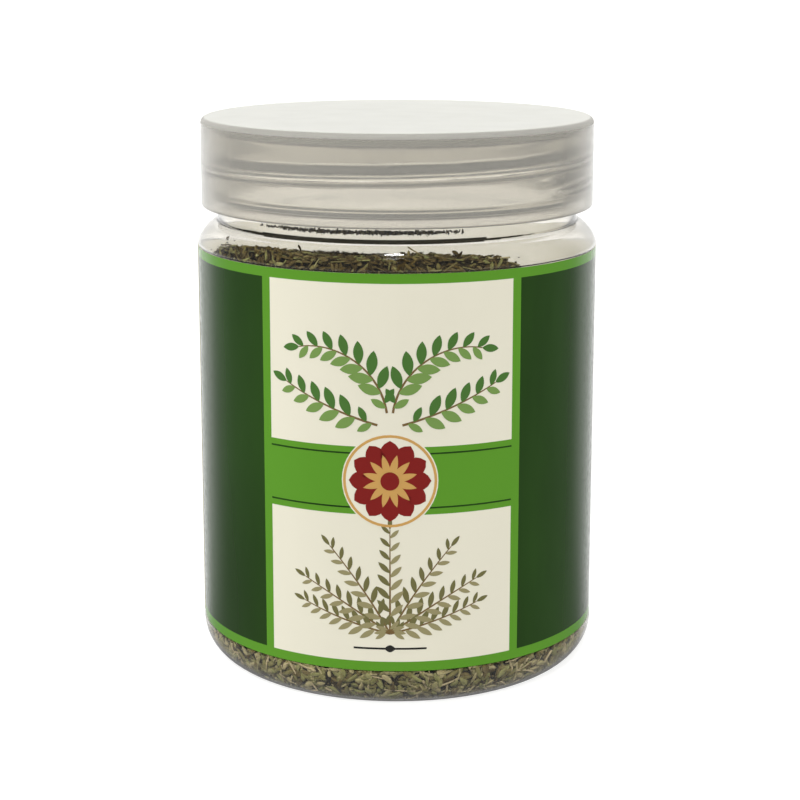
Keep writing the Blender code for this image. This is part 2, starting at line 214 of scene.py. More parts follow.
CORE_INSET = 1.3 * MM
CORE_BELOW_HEAP = 0.9 * MM
CORE_TOP_BAND = 0.4 * MM
CORE_ROUNDING = 0.2 * MM
CORE_STEPS = 160

# Where bits lie round the heel: 0 is the floor's edge and 1 the heel's top, and a strip of floor and a
# strip of wall go on from there at these lengths for each 1
HEEL_REACH = (-0.1, 1.3)
FLOOR_STRIP = 30 * MM
WALL_STRIP = 10 * MM

# The loose bits: each range is from the smallest to the largest, with sizes in millimetres
CRUMB_SIZE = (0.5, 1.1)
CRUMB_DEPTH = (0.3 * MM, 1.2 * MM)
CRUMB_LEAN = 1.5
LEAF_LENGTH = (2.4, 4.4)
LEAF_WIDTH = (0.95, 1.65)
LEAF_DEPTH = (0.1 * MM, 1.3 * MM)
LEAF_CURL = 0.15
STEM_LENGTH = (3, 9)
STEM_WIDTH = (0.3, 0.62)
STEM_DEPTH = (0.1 * MM, 0.5 * MM)
STEM_CURL = 0.08
BIT_THICKNESS = (0.75, 1.1)
BIT_BEND = (-0.3, 1)
BIT_GAP = 0.04 * MM

# The tones of the bits, from 0 to 1: how far from the mix's own, how spread, the lowest and the highest
LEAF_TONES = (0, 0.19, 0.02, 0.9)
STEM_TONES = (0.26, 0.12, 0.4, 1)
# The crumbs lie deepest, in the gaps, and their tones are darkened by this share as painted shade there
CRUMB_PAINTED_SHADE = 0.5

# A dried leaf, with its edges rolled under and a groove down its back, and a bit of stem: a ring, and
# stations with a place along the bit and the ring's size there
LEAF_RING = ((1, -0.15), (0.62, 0.6), (0, 0.46), (-0.62, 0.6), (-1, -0.15), (0, 0.1))
LEAF_STATIONS = ((-0.66, 0.68), (-0.2, 1), (0.28, 0.95), (0.7, 0.6))
STEM_STATIONS = ((-1, 1), (-0.35, 0.94), (0.35, 0.88), (1, 0.8))
STEM_SIDES = 5

# How fine the meshes are, and how far their corners are rounded
ROUND_STEPS = 288
ARC_STEPS = 20
LINE_GAP = 0.1 * MM
COARSE_GAP = 2 * MM
THREAD_GAP = 0.2 * MM
MOST_BEND = math.radians(5)
FINE_REACH = 0.2 * MM
CORNER_ROUNDING = 0.25 * MM

# The camera, which looks along +Y and down, with its sensor and lens in millimetres
CAMERA_PLACE = (0, -0.428, 0.1559)
CAMERA_DOWN = math.radians(11.3)
CAMERA_SENSOR = 36
CAMERA_FOCAL_PIXELS = 1995
IMAGE_PIXELS = 800
CAMERA_LENS = CAMERA_SENSOR * CAMERA_FOCAL_PIXELS / IMAGE_PIXELS
CAMERA_SHIFT = (0.0035, -0.08)

# The light: how strongly the floor and the room shine, before and behind the jar
FLOOR_GLOW_SEEN = 0.85
FLOOR_GLOW_FRONT = 0.1
FLOOR_GLOW_BACK = 0.85
FLOOR_GLOW_BEFORE = 28 * MM
FLOOR_RADIUS = 6
ROOM_COLOUR = (1, 1, 0.985)
ROOM_FRONT = 0.12
ROOM_BACK = 1
ROOM_SEEN_THROUGH = 0.25
ROOM_BEHIND_JAR = 0.6
WALLS_CROSSED = 3.5
BACK_STARTS = 0.35
BACK_IS_FULL = 0.85
LIGHT_BOUNCES = 28
BRIGHTEST_INDIRECT = 3

# The lamps: azimuth, elevation, power, size, and whether gloss and clear plastic mirror them
LAMPS = {
    "lamp": (-5, 37, 2.35, 4, False),
    "glint": (-4, 72, 0.35, 8, True),
    "left_fill": (-80, 20, 1.8, 40, False),
    "right_fill": (80, 20, 1.45, 40, False),
    "back_fill": (180, 20, 0.9, 60, False),
}

# The lid's finishes, for its wall, its thread, its edge and its top: colour, transmission, roughness. The
# thread's finish is a paler, clearer copy of the wall's, painted light against the shade at the thread
MILKY = {
    "milky_pp": ((0.875, 0.845, 0.765), 0.74, 0.13),
    "milky_pp_thread_painted_pale": ((0.97, 0.945, 0.88), 0.9, 0.13),
    "milky_pp_edge": ((0.93, 0.905, 0.83), 0.65, 0.4),
    "milky_pp_top": ((0.87, 0.87, 0.805), 0.3, 0.35),
}

# The inks: colour, roughness and how strong their upright streaks are. The dark green's strong streaks
# are a painted reflection of the room in the glossy, wavy label; the others' are faint unevenness of the
# print
INKS = {
    # dark green: its strong streaks are painted reflection
    "dark_green": ((0.012, 0.04, 0.004), 0.18, 0.3),
    "light_green": ((0.092, 0.265, 0.02), 0.18, 0.02),
    "cream": ((0.715, 0.685, 0.56), 0.16, 0.02),
    "stem": ((0.16, 0.10, 0.04), 0.18, 0.02),
    "leaf": ((0.06, 0.15, 0.03), 0.18, 0.02),
    "leaf_light": ((0.16, 0.27, 0.07), 0.18, 0.02),
    "herb": ((0.14, 0.13, 0.05), 0.18, 0.02),
    "herb_light": ((0.27, 0.24, 0.12), 0.18, 0.02),
    "dark_red": ((0.19, 0.012, 0.01), 0.18, 0.02),
    "gold": ((0.52, 0.30, 0.09), 0.18, 0.02),
    "black": ((0.02, 0.02, 0.018), 0.18, 0.02),
}

# The thyme's tones, from the darkest bits to the palest
HERB_TONES = (
    (0.0, (0.03, 0.02, 0.006)),
    (0.25, (0.085, 0.06, 0.02)),
    (0.5, (0.182, 0.143, 0.055)),
    (0.75, (0.265, 0.268, 0.097)),
    (1.0, (0.55, 0.46, 0.27)),
)

# What follows from these
WAIST_TOP = LABEL_TOP_Z + WAIST_GAP
WAIST_FOOT = LABEL_FOOT_Z - WAIST_GAP
HEEL_TOP = WAIST_FOOT - 2 * WAIST_CHAMFER
HEEL_INNER_RADII = (HEEL_RADIUS - HEEL_WALL, HEEL_TOP - BASE_THICKNESS)
LABEL_MIDDLE_Z = (LABEL_FOOT_Z + LABEL_TOP_Z) / 2
LABEL_HALF_HEIGHT = (LABEL_TOP_Z - LABEL_FOOT_Z) / 2
LABEL_START = LABEL_SEAM_SHIFT - math.pi * BODY_RADIUS
LAP_START = LABEL_START + TURN * BODY_RADIUS


def smooth_step(share):
    """Runs smoothly from 0 to 1 as the share does."""
    share = np.clip(share, 0, 1)
    return share * share * (3 - 2 * share)


def around(angle, r, z):
    """Points at an angle round the jar's axis, a distance from it and a height."""
    return np.stack((r * np.cos(angle), r * np.sin(angle), z + 0 * angle), -1)


def arc(centre, radii, first, last):
    """Points (r, z) along an elliptical arc, from one angle in degrees to another."""
    angles = np.radians(np.linspace(first, last, ARC_STEPS + 1))
    return [(centre[0] + radii[0] * math.cos(a), centre[1] + radii[1] * math.sin(a)) for a in angles]


def softened(points, corner):
    """The line with a point every LINE_GAP and its corners rounded to about that radius."""
    points = np.array(points, float)
    along = np.concatenate(([0], np.cumsum(np.hypot(*np.diff(points, axis=0).T))))
    spots = np.linspace(0, along[-1], int(along[-1] / LINE_GAP) + 2)
    line = np.column_stack([np.interp(spots, along, points[:, axis]) for axis in (0, 1)])
    for _ in range(round(2 * (corner / LINE_GAP) ** 2)):
        line[1:-1] = (line[:-2] + 2 * line[1:-1] + line[2:]) / 4
    return line


def thinned(line, fine=None):
    """Drops the points that a straight or a gently bent stretch doesn't need."""
    headings = np.arctan2(*np.diff(line, axis=0).T[::-1])
    kept = [0]
    bend = 0
    for i in range(1, len(line) - 1):
        change = abs(headings[i] - headings[i - 1])
        bend += min(change, TURN - change)
        reach = THREAD_GAP if fine and fine(*line[i]) else COARSE_GAP
        if bend > MOST_BEND or math.dist(line[i], line[kept[-1]]) > reach:
            kept.append(i)
            bend = 0
    return line[kept + [len(line) - 1]]


def in_scene(name, data, materials=()):
    """A new object in the scene, with its material slots."""
    for material in materials:
        data.materials.append(material)
    thing = bpy.data.objects.new(name, data)
    bpy.context.scene.collection.objects.link(thing)
    return thing


def from_edit(name, edit, materials):
    """A new object from a bmesh, which is freed."""
    mesh = bpy.data.meshes.new(name)
    edit.to_mesh(mesh)
    edit.free()
    return in_scene(name, mesh, materials)


def new_object(name, corners, faces, materials):
    mesh = bpy.data.meshes.new(name)
    mesh.from_pydata(np.asarray(corners).tolist(), [], faces)
    mesh.shade_smooth()
    return in_scene(name, mesh, materials)


def turned(name, line, materials, move=None, steps=ROUND_STEPS):
    """Turns a line of (r, z) points into a closed shell. The line runs from the axis to the axis,
    with the solid on its left, and move may shift what is turned."""
    rows = len(line) - 2
    angles = np.arange(steps) * TURN / steps
    r, angle = np.meshgrid(line[1:-1, 0], angles, indexing="ij")
    z = np.repeat(line[1:-1, 1][:, None], steps, 1)
    pole_heights = line[[0, -1], 1]
    if move:
        r, z = move(r, z, angle)
        _, pole_heights = move(np.zeros(2), pole_heights, np.zeros(2))
    corners = around(angle, r, z).reshape(-1, 3)
    poles = [(0, 0, height) for height in pole_heights]
    first, last = rows * steps, rows * steps + 1
    corner = np.arange(rows * steps).reshape(rows, steps)
    beside = np.roll(corner, -1, axis=1)
    quads = np.stack((corner[:-1], beside[:-1], beside[1:], corner[1:]), -1).reshape(-1, 4)
    faces = quads.tolist()
    faces += [(first, b, a) for a, b in zip(corner[0].tolist(), beside[0].tolist())]
    faces += [(a, b, last) for a, b in zip(corner[-1].tolist(), beside[-1].tolist())]
    return new_object(name, np.vstack((corners, poles)), faces, materials)


def set_slots(thing, slot_of):
    """Gives each face the material slot that slot_of names for its middle."""
    for face in thing.data.polygons:
        face.material_index = slot_of(face.center)


# Materials


def new_material(name, colour, roughness, **sockets):
    """A Principled material. Constant finish goes on the shader's own sockets."""
    material = bpy.data.materials.new(name)
    material.use_nodes = True
    shader = material.node_tree.nodes["Principled BSDF"]
    shader.inputs["Base Color"].default_value = (*colour, 1)
    shader.inputs["Roughness"].default_value = roughness
    for socket, value in sockets.items():
        shader.inputs[socket.replace("_", " ")].default_value = value
    material.diffuse_color = (*colour, 1)
    return material


def node(tree, kind, inputs, **settings):
    """A new node. The settings are its own, and each input takes a value or a socket to link."""
    made = tree.nodes.new("ShaderNode" + kind)
    for name, value in settings.items():
        setattr(made, name, value)
    for name, value in inputs.items():
        if isinstance(value, bpy.types.NodeSocket):
            tree.links.new(value, made.inputs[name])
        else:
            made.inputs[name].default_value = value
    return made


def drive(material, name, socket):
    """Links a socket to an input of the material's shader."""
    shader = material.node_tree.nodes["Principled BSDF"]
    material.node_tree.links.new(socket, shader.inputs[name])


def noise(material, grain):
    """Noise over the object's own coordinates, as a socket whose value runs round 0.5. A grain is how
    fine the noise is, per metre, its stretch and its detail."""
    per_metre, stretch, detail = grain
    tree = material.node_tree
    place = node(tree, "TexCoord", {}).outputs["Object"]
    mapping = node(tree, "Mapping", {"Vector": place, "Scale": stretch})
    inputs = {"Vector": mapping.outputs["Vector"], "Scale": per_metre, "Detail": detail}
    return node(tree, "TexNoise", inputs).outputs["Fac"]


def ramp(material, factor, stops):
    """A colour that runs through the stops, each a position and a colour, as the factor grows."""
    made = node(material.node_tree, "ValToRGB", {"Fac": factor})
    elements = made.color_ramp.elements
    while len(elements) < len(stops):
        elements.new(1)
    for element, (position, colour) in zip(elements, stops):
        element.position = position
        element.color = (*colour, 1)
    return made.outputs["Color"]


def mottled(material, grain, dark, light):
    """A colour that runs between two colours as the grain's noise goes from 0.3 to 0.7."""
    return ramp(material, noise(material, grain), [(0.3, dark), (0.7, light)])


def vary_colour(material, grain, dark, light):
    drive(material, "Base Color", mottled(material, grain, dark, light))


def vary_roughness(material, grain, low, high):
    """The roughness runs between two values as the grain's noise goes from 0.35 to 0.7."""
    inputs = {"From Min": 0.35, "From Max": 0.7, "To Min": low, "To Max": high}
    made = node(material.node_tree, "MapRange", {"Value": noise(material, grain), **inputs})
    drive(material, "Roughness", made.outputs["Result"])


def add_bump(material, grain, height, strength):
    inputs = {"Height": noise(material, grain), "Distance": height, "Strength": strength}
    drive(material, "Normal", node(material.node_tree, "Bump", inputs).outputs["Normal"])


def shaded(colour, share):
    return tuple(min(1, channel * share) for channel in colour)


def clear_plastic():
    """Clear PET with a faint warm tint, thin scuffs and the slow waves of a blown wall."""
    material = new_material("clear_pet", (0.96, 0.942, 0.905), 0.04, Transmission_Weight=1.0, IOR=1.5)
    vary_roughness(material, (90, (1, 1, 0.4), 5), 0.015, 0.09)
    add_bump(material, (70, (1, 1, 0.5), 2), 0.05 * MM, 0.5)
    return material


def painted_dark_plastic():
    """The same plastic painted nearly black, as painted shade where it is thick: at the rim, the bead,
    the thread and the crease.
    """
    material = new_material(
        "pet_painted_dark", (0.03, 0.028, 0.02), 0.16, Transmission_Weight=0.12, IOR=1.5, Specular_IOR_Level=0.12
    )
    vary_roughness(material, (400, EVEN, 2), 0.12, 0.22)
    return material


def milky_plastic(name, colour, transmission, roughness):
    """Milky polypropylene: part clear and part cloudy, with slow changes of tone."""
    material = new_material(
        name, colour, roughness, Transmission_Weight=transmission, IOR=1.49, Specular_IOR_Level=0.12
    )
    vary_colour(material, (60, (1, 1, 3), 2), shaded(colour, 0.985), shaded(colour, 1.01))
    vary_roughness(material, (120, (1, 1, 4), 2), roughness, roughness + 0.07)
    return material


def foam():
    """White foam with fine pores."""
    material = new_material("white_foam", (0.92, 0.92, 0.88), 0.7, Transmission_Weight=0.25, IOR=1.2)
    vary_colour(material, (900, EVEN, 3), (0.90, 0.90, 0.86), (0.95, 0.95, 0.91))
    add_bump(material, (1800, EVEN, 2), 0.08 * MM, 0.6)
    return material


def printed(name, colour, roughness, streaks_and_sheen):
    """An ink on coated paper with upright streaks: faint ones are uneven print and strong ones are
    painted sheen from the glossy label's waves. The paper's grain lies under the gloss.
    """
    material = new_material(name, colour, roughness, Specular_IOR_Level=0.2)
    vary_colour(material, (45, (1, 1, 0.3), 4), shaded(colour, 1 - streaks_and_sheen), shaded(colour, 1 + streaks_and_sheen))
    vary_roughness(material, (700, EVEN, 3), roughness - 0.05, roughness + 0.07)
    add_bump(material, (2200, EVEN, 2), 0.01 * MM, 0.35)
    return material


def bare_paper():
    """The label's bare back: thin paper that the light behind it shines through."""
    material = new_material(
        "bare_paper", (0.6, 0.53, 0.36), 0.75, Specular_IOR_Level=0.2, Subsurface_Weight=0.93,
        Subsurface_Radius=(1, 1, 0.9), Subsurface_Scale=3 * MM
    )
    vary_colour(material, (300, EVEN, 5), (0.585, 0.515, 0.345), (0.615, 0.545, 0.375))
    add_bump(material, (2500, EVEN, 2), 0.02 * MM, 0.4)
    return material


def dried_herb():
    """Dried leaf and stem: each bit has its own tone, from brown through grey-green to straw."""
    material = new_material("dried_herb", (0.2, 0.18, 0.1), 0.8, Specular_IOR_Level=0.25)
    tree = material.node_tree
    tone_and_shade = node(tree, "Attribute", {}, attribute_name="tone_and_shade").outputs["Fac"]
    own = ramp(material, tone_and_shade, HERB_TONES)
    mottle = mottled(material, (1500, EVEN, 4), (0.68, 0.68, 0.66), (1, 1, 1))
    inputs = {"Factor": 1, "A": own, "B": mottle}
    mixed = node(tree, "Mix", inputs, data_type="RGBA", blend_type="MULTIPLY")
    drive(material, "Base Color", mixed.outputs["Result"])
    add_bump(material, (2600, EVEN, 3), 0.06 * MM, 0.7)
    return material


def painted_shade_herb():
    """The mass of thyme that shows in the gaps between the loose bits, painted nearly black as the shade
    in those gaps.
    """
    material = new_material("painted_shade_herb", (0.022, 0.018, 0.008), 0.9, Specular_IOR_Level=0.1)
    vary_colour(material, (600, EVEN, 5), (0.008, 0.006, 0.002), (0.045, 0.037, 0.017))
    add_bump(material, (900, EVEN, 4), 0.4 * MM, 0.8)
    return material


# The jar


def thread_bump(z, angle, foot_z):
    """How far the thread stands out at a height and an angle, as a share of its full height."""
    raised = np.zeros_like(z)
    whole = TURN * THREAD_TURNS
    for lap in range(2):
        gone = np.mod(angle - THREAD_START, TURN) + TURN * lap
        middle = foot_z + PITCH * gone / TURN
        across = np.abs(z - middle) / THREAD_HALF_WIDTH
        form = smooth_step((1 - across) * THREAD_STEEPNESS)
        ends = smooth_step(np.minimum(gone, whole - gone) / THREAD_FADE)
        raised = np.maximum(raised, form * ends)
    return raised


def push_up_z(r):
    """The height of the base's underside: a standing ring round a pushed-up middle."""
    inward = smooth_step((STANDING_RING_INNER - r) / (STANDING_RING_INNER - PUSH_UP_TOP_R))
    dome = np.clip(1 - (r / STANDING_RING_INNER) ** 2, 0, 1)
    return PUSH_UP * ((1 - PUSH_UP_DOME) * inward + PUSH_UP_DOME * dome)


def shoulder_line(neck_r, reach):
    """The shoulder, up from its foot to the neck: fuller than a cone, and flatter than an ellipse."""
    powers = 2 / SHOULDER_ROUNDNESS
    angles = np.radians(np.linspace(0, 90, 25))
    across, up = reach[0] * np.cos(angles) ** powers, reach[1] * np.sin(angles) ** powers
    return list(zip(neck_r + across, SHOULDER_FOOT_Z + up))


def jar_outer_line():
    gate_r, gate_depth = GATE_MARK
    underside = [(r, float(push_up_z(r))) for r in np.linspace(gate_r, STANDING_RING_INNER, 60)]
    line = [(0, PUSH_UP - gate_depth), (gate_r * 0.8, PUSH_UP - gate_depth)] + underside
    line += arc((HEEL_CENTRE_R, HEEL_TOP), (HEEL_RADIUS, HEEL_TOP), -90, 0)
    line += [(BODY_RADIUS, WAIST_FOOT - WAIST_CHAMFER), (WAIST_RADIUS, WAIST_FOOT)]
    line += [(WAIST_RADIUS, WAIST_TOP), (BODY_RADIUS, WAIST_TOP + WAIST_CHAMFER)]
    shoulder = (BODY_RADIUS - NECK_RADIUS, NECK_FOOT_Z - SHOULDER_FOOT_Z)
    line += shoulder_line(NECK_RADIUS, shoulder)
    line += arc((NECK_RADIUS, BEAD_Z), BEAD_RADII, -90, 90)
    line.append((NECK_RADIUS, RIM_Z))
    return line


def jar_inner_line():
    """The jar's inside follows its outside, from the rim down."""
    body_inside = BODY_RADIUS - HEEL_WALL
    neck_foot_inside = NECK_RADIUS - WALL
    shoulder = (body_inside - neck_foot_inside, NECK_FOOT_Z - 0.8 * WALL - SHOULDER_FOOT_Z)
    line = [(NECK_INNER_RADIUS, RIM_Z), (NECK_INNER_RADIUS, BEAD_Z), (neck_foot_inside, BEAD_Z - MM)]
    line += shoulder_line(neck_foot_inside, shoulder)[::-1]
    line += [(body_inside, WAIST_TOP + WAIST_CHAMFER), (INNER_RADIUS, WAIST_TOP)]
    line += [(INNER_RADIUS, WAIST_FOOT), (body_inside, WAIST_FOOT - WAIST_CHAMFER)]
    line += arc((HEEL_CENTRE_R, HEEL_TOP), HEEL_INNER_RADII, 0, -90)
    line += [(r, BASE_THICKNESS + float(push_up_z(r))) for r in np.linspace(STANDING_RING_INNER, 0, 60)]
    return line


def in_fine_zone(r, z):
    """Where the jar's mesh is finer: at the thread, and at the neck's foot."""
    thread = r > NECK_INNER_RADIUS + FINE_REACH and JAR_THREAD_FOOT_Z - 2 * MM < z < RIM_Z - MM
    return thread or (r > NECK_RADIUS - LINE_GAP and abs(z - NECK_FOOT_Z) < MM)


def shape_neck(r, z, angle):
    """Raises the thread on the neck, and gives the blown shoulder its slow waves."""
    outside = smooth_step((r - THREAD_ROOT_RADIUS) / THREAD_ROOT_FADE)
    raised = thread_bump(z, angle, JAR_THREAD_FOOT_Z) * (z > BEAD_Z) * outside
    on_shoulder = (z > LABEL_TOP_Z) & (z < NECK_FOOT_Z)
    wave = np.sin(5 * angle + 1) + np.sin(9 * angle + 700 * z) + 0.6 * np.sin(17 * angle - 400 * z)
    return r + JAR_THREAD_HEIGHT * raised - BODY_WAVES * (wave + 2.6) * on_shoulder, z


def make_jar(material, painted_dark):
    line = softened(jar_outer_line() + jar_inner_line(), CORNER_ROUNDING)
    jar = turned("jar_clear_body", thinned(line, in_fine_zone), [material, painted_dark], shape_neck)

    # The rim band, the crests of the thread and the bead, and the crease take slot 1: the plastic painted
    # dark as shade
    def slot_of(middle):
        out = math.hypot(middle.x, middle.y) - NECK_RADIUS
        crest = out > THREAD_CREST_OUT and middle.z > BEAD_Z + 2 * BEAD_RADII[1]
        bead = out > BEAD_CREST_OUT and middle.z > BEAD_Z - MM
        turn = math.degrees(math.atan2(middle.y, middle.x)) + 90
        fade = min(1, (turn - CREASE_FROM) / CREASE_FADE, (CREASE_TO - turn) / CREASE_FADE)
        crease = abs(middle.z - CREASE_Z) < CREASE_HALF_HEIGHT * fade and out > -LINE_GAP
        return int(middle.z > RIM_Z - RIM_BAND or crest or bead or crease)

    set_slots(jar, slot_of)
    jar.visible_shadow = False
    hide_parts("jar_body")
    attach(jar, "jar")


# The lid


def shape_lid(r, z, angle):
    """Raises the thread inside the lid's skirt."""
    inside = (r < LID_INNER_RADIUS + FINE_REACH) & (r > NECK_RADIUS) & (z < LID_PLATE_Z)
    return r - LID_THREAD_HEIGHT * thread_bump(z, angle, LID_THREAD_FOOT_Z) * inside, z


def in_lid_thread_zone(r, z):
    """Where the lid's mesh is finer."""
    on_skirt = abs(r - LID_INNER_RADIUS) < FINE_REACH
    return on_skirt and LID_THREAD_FOOT_Z - 2 * MM < z < LID_PLATE_Z - MM


def make_lid(milky):
    """The lid, in four finishes: its wall, its thread, painted paler against its shade, its rounded edge
    and its top.
    """
    line = [(0, LID_PLATE_Z), (LID_INNER_RADIUS, LID_PLATE_Z), (LID_INNER_RADIUS, LID_FOOT_Z)]
    line += [(LID_RADIUS, LID_FOOT_Z)]
    edge = (LID_RADIUS - LID_EDGE, LID_TOP_Z - LID_EDGE)
    line += arc(edge, (LID_EDGE, LID_EDGE), 0, 90)
    line.append((0, LID_TOP_Z))
    line = thinned(softened(line, CORNER_ROUNDING), in_lid_thread_zone)
    lid = turned("lid_milky_cap", line, milky, shape_lid)

    def slot_of(middle):
        r = math.hypot(middle.x, middle.y)
        if middle.z > LID_TOP_Z - LID_EDGE:
            return 3 if middle.z > LID_TOP_FROM else 2
        return int(NECK_RADIUS < r < LID_INNER_RADIUS - LID_CREST_OUT and middle.z < LID_PLATE_Z - MM)

    set_slots(lid, slot_of)
    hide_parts("lid")
    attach(lid, "lid")


def make_liner(material):
    radius = liner_high.x
    line = [(0, liner_low.z), (radius, liner_low.z), (radius, liner_high.z), (0, liner_high.z)]
    liner = turned("lid_foam_liner", thinned(softened(line, CORNER_ROUNDING / 2)), [material])
    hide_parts("lid_liner")
    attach(liner, "liner")


# The label


def label_wave(angle, z):
    """The label's faint upright waves, where it isn't quite tight on the jar."""
    return LABEL_WAVES * (np.sin(13 * angle + 30 * z) + np.sin(29 * angle + 1) * np.cos(45 * z))


def wrapped(across, up, out):
    """A point of the flat label, across and up from the middle of its panel, laid on the jar."""
    angle = LABEL_TURN + across / BODY_RADIUS
    z = LABEL_MIDDLE_Z + up
    r = LABEL_FACE_RADIUS + out + label_wave(angle, z)
    return Vector((r * math.cos(angle), r * math.sin(angle), z))


def panel_slot(across, up):
    """Which finish the label's face has at a place: 0 dark green, 1 light green, 2 cream. Slot 3 is its
    bare back and its edges."""
    if abs(up) > LABEL_HALF_HEIGHT - FRAME_LINE:
        return 1
    if abs(across) < PANEL_HALF_WIDTH:
        return 2
    return int(abs(across) < PANEL_HALF_WIDTH + FRAME_LINE)


def label_columns():
    """Where the sheet's columns of corners are: at its ends, at the panel's frame and between them."""
    frame_edge = PANEL_HALF_WIDTH + FRAME_LINE
    frame_edges = (-frame_edge, -PANEL_HALF_WIDTH, PANEL_HALF_WIDTH, frame_edge)
    stops = [LABEL_START, *frame_edges, LAP_START + LABEL_LAP]
    columns = [LABEL_START]
    for a, b in zip(stops, stops[1:]):
        columns += list(np.linspace(a, b, math.ceil((b - a) / MM) + 1)[1:])
    return columns


def label_side(edit, columns, rows, level):
    """The corners of one side of the sheet, raised where it laps over its start."""
    grid = []
    for across in columns:
        lapped = smooth_step((across - LAP_START + LAP_RISES_BEFORE) / LAP_RISES_IN)
        out = level + (LABEL_THICKNESS + LAP_GAP) * float(lapped)
        grid.append([edit.verts.new(wrapped(across, up, out)) for up in rows])
    return grid


def make_label(dark, light, cream, paper):
    """The label's sheet, wrapped once round, with its end lapped over its start at the left side."""
    columns = label_columns()
    inner_height = LABEL_HALF_HEIGHT - FRAME_LINE
    inner_rows = np.linspace(-inner_height, inner_height, LABEL_ROWS)
    rows = [-LABEL_HALF_HEIGHT, *inner_rows, LABEL_HALF_HEIGHT]
    edit = bmesh.new()
    outer = label_side(edit, columns, rows, 0)
    inner = label_side(edit, columns, rows, -LABEL_THICKNESS)
    right, top = len(columns) - 1, len(rows) - 1
    for i in range(right):
        for j in range(top):
            face = edit.faces.new((outer[i][j], outer[i + 1][j], outer[i + 1][j + 1], outer[i][j + 1]))
            middle = (columns[i] + columns[i + 1]) / 2, (rows[j] + rows[j + 1]) / 2
            face.material_index = panel_slot(*middle)
            face = edit.faces.new((inner[i][j], inner[i][j + 1], inner[i + 1][j + 1], inner[i + 1][j]))
            face.material_index = 3
    rim = [(i, 0) for i in range(right)] + [(right, j) for j in range(top)]
    rim += [(i, top) for i in range(right, 0, -1)] + [(0, j) for j in range(top, 0, -1)]
    for (a, b), (c, d) in zip(rim, rim[1:] + rim[:1]):
        face = edit.faces.new((outer[c][d], outer[a][b], inner[a][b], inner[c][d]))
        face.material_index = 3
    label = from_edit("label_sleeve", edit, (dark, light, cream, paper))
    label.data.shade_smooth()
    label.data.set_sharp_from_angle(angle=math.radians(40))
    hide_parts("label")
    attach(label, "jar")


def print_on_label(name, outlines, material, level):
    """Flat outlines, in metres from the panel's middle, laid on the label as one thin layer of ink."""
    edit = bmesh.new()
    for outline in outlines:
        edit.faces.new([edit.verts.new((across, up, 0)) for across, up in outline])
    bmesh.ops.remove_doubles(edit, verts=edit.verts, dist=SAME_PLACE)
    for axis, gap in enumerate(PRINT_CELL):
        values = [corner.co[axis] for corner in edit.verts]
        normal = (1, 0, 0) if axis == 0 else (0, 1, 0)
        for i in range(math.floor(min(values) / gap), math.ceil(max(values) / gap) + 1):
            spot = [0, 0, 0]
            spot[axis] = i * gap + PRINT_CELL_SHIFT
            geometry = edit.verts[:] + edit.edges[:] + edit.faces[:]
            cut = {"plane_co": spot, "plane_no": normal, "dist": SAME_PLACE / 10}
            bmesh.ops.bisect_plane(edit, geom=geometry, **cut)
    bmesh.ops.recalc_face_normals(edit, faces=edit.faces)
    for face in edit.faces:
        if face.normal.z < 0:
            face.normal_flip()
    lower = edit.verts[:]
    risen = bmesh.ops.extrude_face_region(edit, geom=edit.faces[:])
    upper = [item for item in risen["geom"] if isinstance(item, bmesh.types.BMVert)]
    for corner in lower:
        corner.co = wrapped(corner.co.x, corner.co.y, -INK)
    for corner in upper:
        corner.co = wrapped(corner.co.x, corner.co.y, INK * level)
    bmesh.ops.recalc_face_normals(edit, faces=edit.faces)
    thing = from_edit(name, edit, [material])
    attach(thing, "jar")


def placed(outline, across, up, heading):
    """An outline turned to a heading and moved to a place."""
    c, s = math.cos(heading), math.sin(heading)
    return [(across + x * c - y * s, up + x * s + y * c) for x, y in outline]


def closed(upper):
    """An outline from its upper half, which runs along +X from point to point."""
    return upper + [(x, -y) for x, y in upper[-2:0:-1]]


def leaf_outline(length, width, tip=0.8):
    """A pointed leaf along +X, from its foot."""
    shares = [i / LEAF_STEPS for i in range(LEAF_STEPS + 1)]
    return closed([(length * t, width / 2 * math.sin(math.pi * t) ** tip) for t in shares])


def petal_outline(length, width):
    """A petal along +X, widest past its middle, with a round tip."""
    shares = [i / PETAL_STEPS for i in range(PETAL_STEPS + 1)]
    return closed([(length * t, width / 2 * math.sin(math.pi * t**1.7) ** 0.7) for t in shares])


def disc_outline(radius, steps=DISC_STEPS):
    angles = [TURN * i / steps for i in range(steps)]
    return [(radius * math.cos(angle), radius * math.sin(angle)) for angle in angles]


def ring_outlines(inner, outer):
    """A ring as a run of four-sided pieces that share their ends."""
    inside, outside = disc_outline(inner, RING_STEPS), disc_outline(outer, RING_STEPS)
    return [[inside[i - 1], outside[i - 1], outside[i], inside[i]] for i in range(RING_STEPS)]


def bar_outline(across, up, width, height):
    half = (width / 2, height / 2)
    return [(across + x * half[0], up + y * half[1]) for x, y in ((-1, -1), (1, -1), (1, 1), (-1, 1))]


def strip_outlines(points, widths):
    """A strip of ink along a line of points, with a width at each."""
    left, right = [], []
    for i, (x, y) in enumerate(points):
        before, after = points[max(0, i - 1)], points[min(len(points) - 1, i + 1)]
        heading = math.atan2(after[1] - before[1], after[0] - before[0])
        side = (-math.sin(heading) * widths[i] / 2, math.cos(heading) * widths[i] / 2)
        left.append((x + side[0], y + side[1]))
        right.append((x - side[0], y - side[1]))
    return [[left[i], right[i], right[i + 1], left[i + 1]] for i in range(len(points) - 1)]


def mirrored(outlines):
    return outlines + [[(-x, y) for x, y in outline] for outline in outlines]


